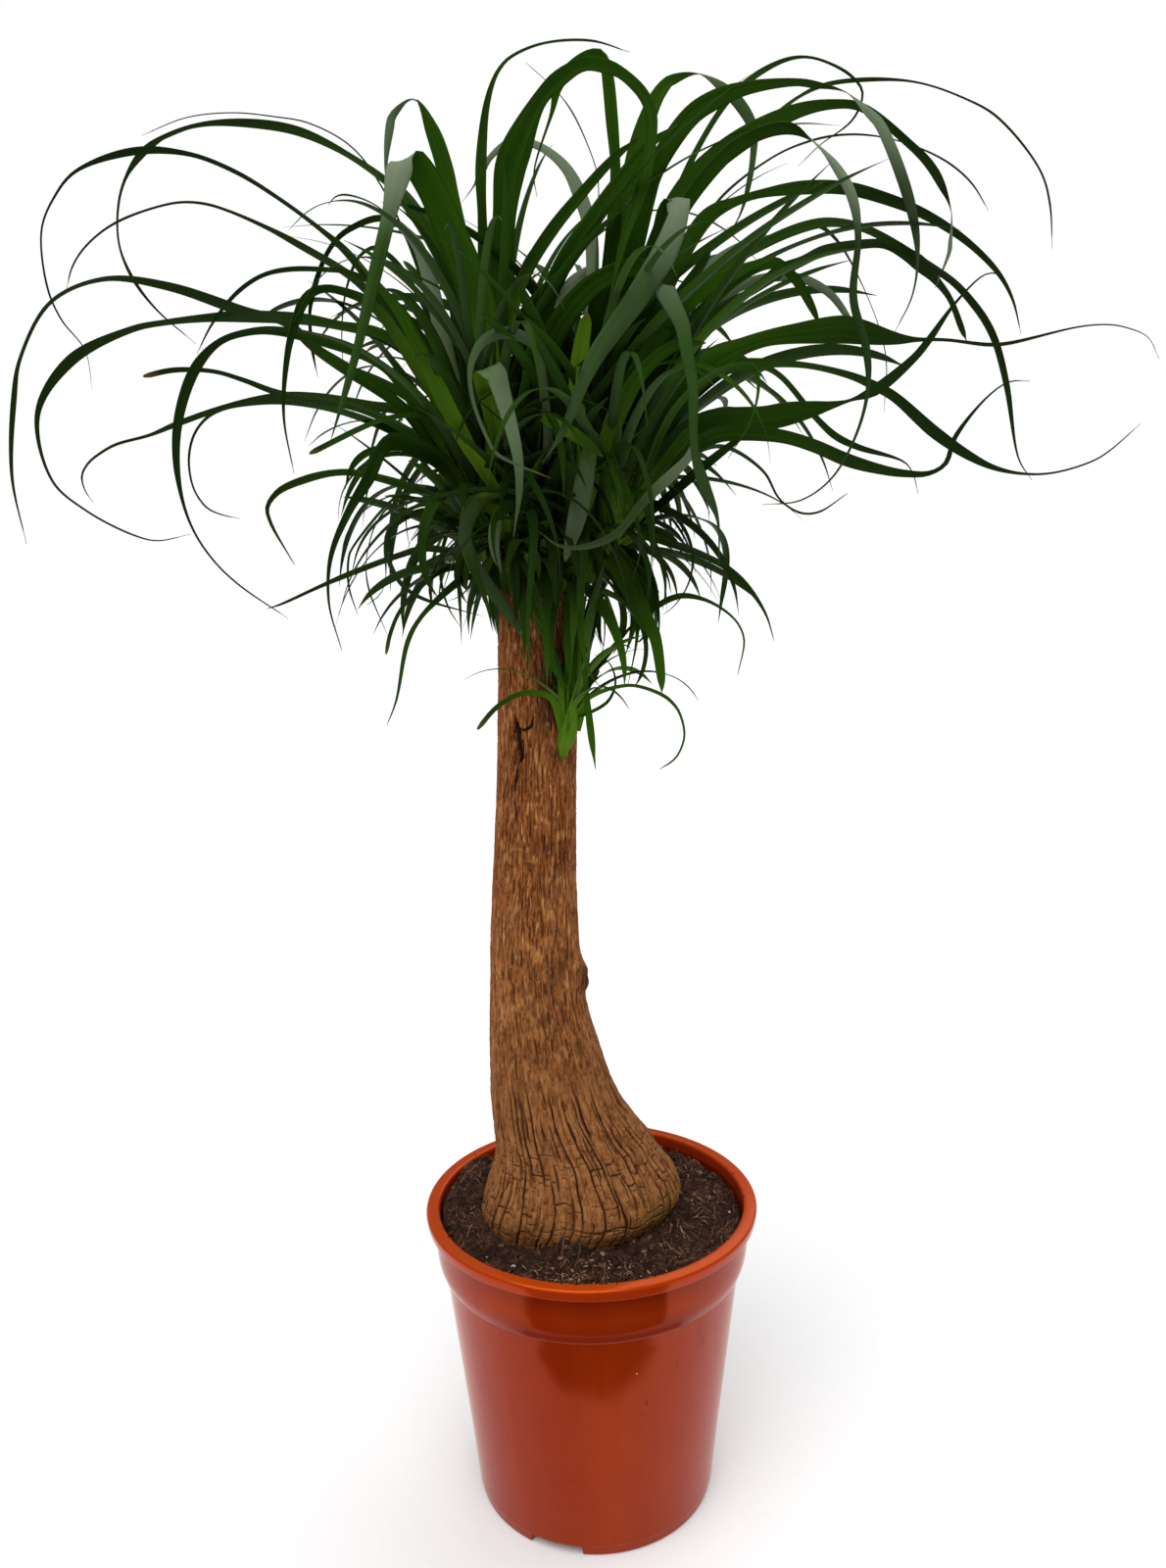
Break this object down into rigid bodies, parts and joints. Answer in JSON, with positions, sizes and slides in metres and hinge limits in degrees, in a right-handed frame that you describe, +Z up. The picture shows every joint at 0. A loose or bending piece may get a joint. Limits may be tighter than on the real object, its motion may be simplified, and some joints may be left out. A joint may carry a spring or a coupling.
{
  "type": "potted ponytail palm",
  "caption": "Ponytail palm with a swollen trunk base and a fountain of long arching strap leaves, growing in a round tapered terracotta-coloured nursery pot.",
  "frame": {"origin": "on the floor, at the centre line of the pot, in the plane of its foot ring", "axes": "+Z up along the pot's centre line; -Y towards the viewer of the picture, the front of the plant; +X to the right of the picture, the side the trunk's swollen base bulges to"},
  "size_m": [0.7282, 0.4184, 1.0068],
  "materials": {
    "pot_plastic": "satin",
    "soil": "matte",
    "bark": "matte",
    "shoot_green": "satin",
    "leaf_green": "satin"
  },
  "bodies": {
    "root": {"nursery_pot": "pot_plastic", "potting_soil": "soil", "trunk": "bark", "shoot_center": "shoot_green", "shoot_left": "shoot_green", "shoot_right": "shoot_green", "shoot_lower_right": "shoot_green", "shoot_side": "shoot_green", "leaf_left_01": "leaf_green", "leaf_left_02": "leaf_green", "leaf_left_03": "leaf_green", "leaf_left_04": "leaf_green", "leaf_left_05": "leaf_green", "leaf_left_06": "leaf_green", "leaf_left_07": "leaf_green", "leaf_left_08": "leaf_green", "leaf_left_09": "leaf_green", "leaf_left_10": "leaf_green", "leaf_left_11": "leaf_green", "leaf_left_12": "leaf_green", "leaf_left_13": "leaf_green", "leaf_left_14": "leaf_green", "leaf_left_15": "leaf_green", "leaf_left_16": "leaf_green", "leaf_left_17": "leaf_green", "leaf_left_18": "leaf_green", "leaf_left_19": "leaf_green", "leaf_left_20": "leaf_green", "leaf_top_01": "leaf_green", "leaf_top_02": "leaf_green", "leaf_top_03": "leaf_green", "leaf_top_04": "leaf_green", "leaf_right_01": "leaf_green", "leaf_right_02": "leaf_green", "leaf_right_03": "leaf_green", "leaf_right_04": "leaf_green", "leaf_right_05": "leaf_green", "leaf_right_06": "leaf_green", "leaf_right_07": "leaf_green", "leaf_right_08": "leaf_green", "leaf_right_09": "leaf_green", "leaf_right_10": "leaf_green", "leaf_right_11": "leaf_green", "leaf_right_12": "leaf_green", "leaf_right_13": "leaf_green", "leaf_right_14": "leaf_green", "leaf_right_15": "leaf_green", "leaf_right_16": "leaf_green", "leaf_front_01": "leaf_green", "leaf_front_02": "leaf_green", "leaf_front_03": "leaf_green", "leaf_front_04": "leaf_green", "leaf_front_05": "leaf_green", "leaf_front_06": "leaf_green", "leaf_front_07": "leaf_green", "leaf_low_01": "leaf_green", "leaf_low_02": "leaf_green", "leaf_low_03": "leaf_green", "leaf_side_01": "leaf_green", "leaf_side_02": "leaf_green"}
  },
  "joints": []
}
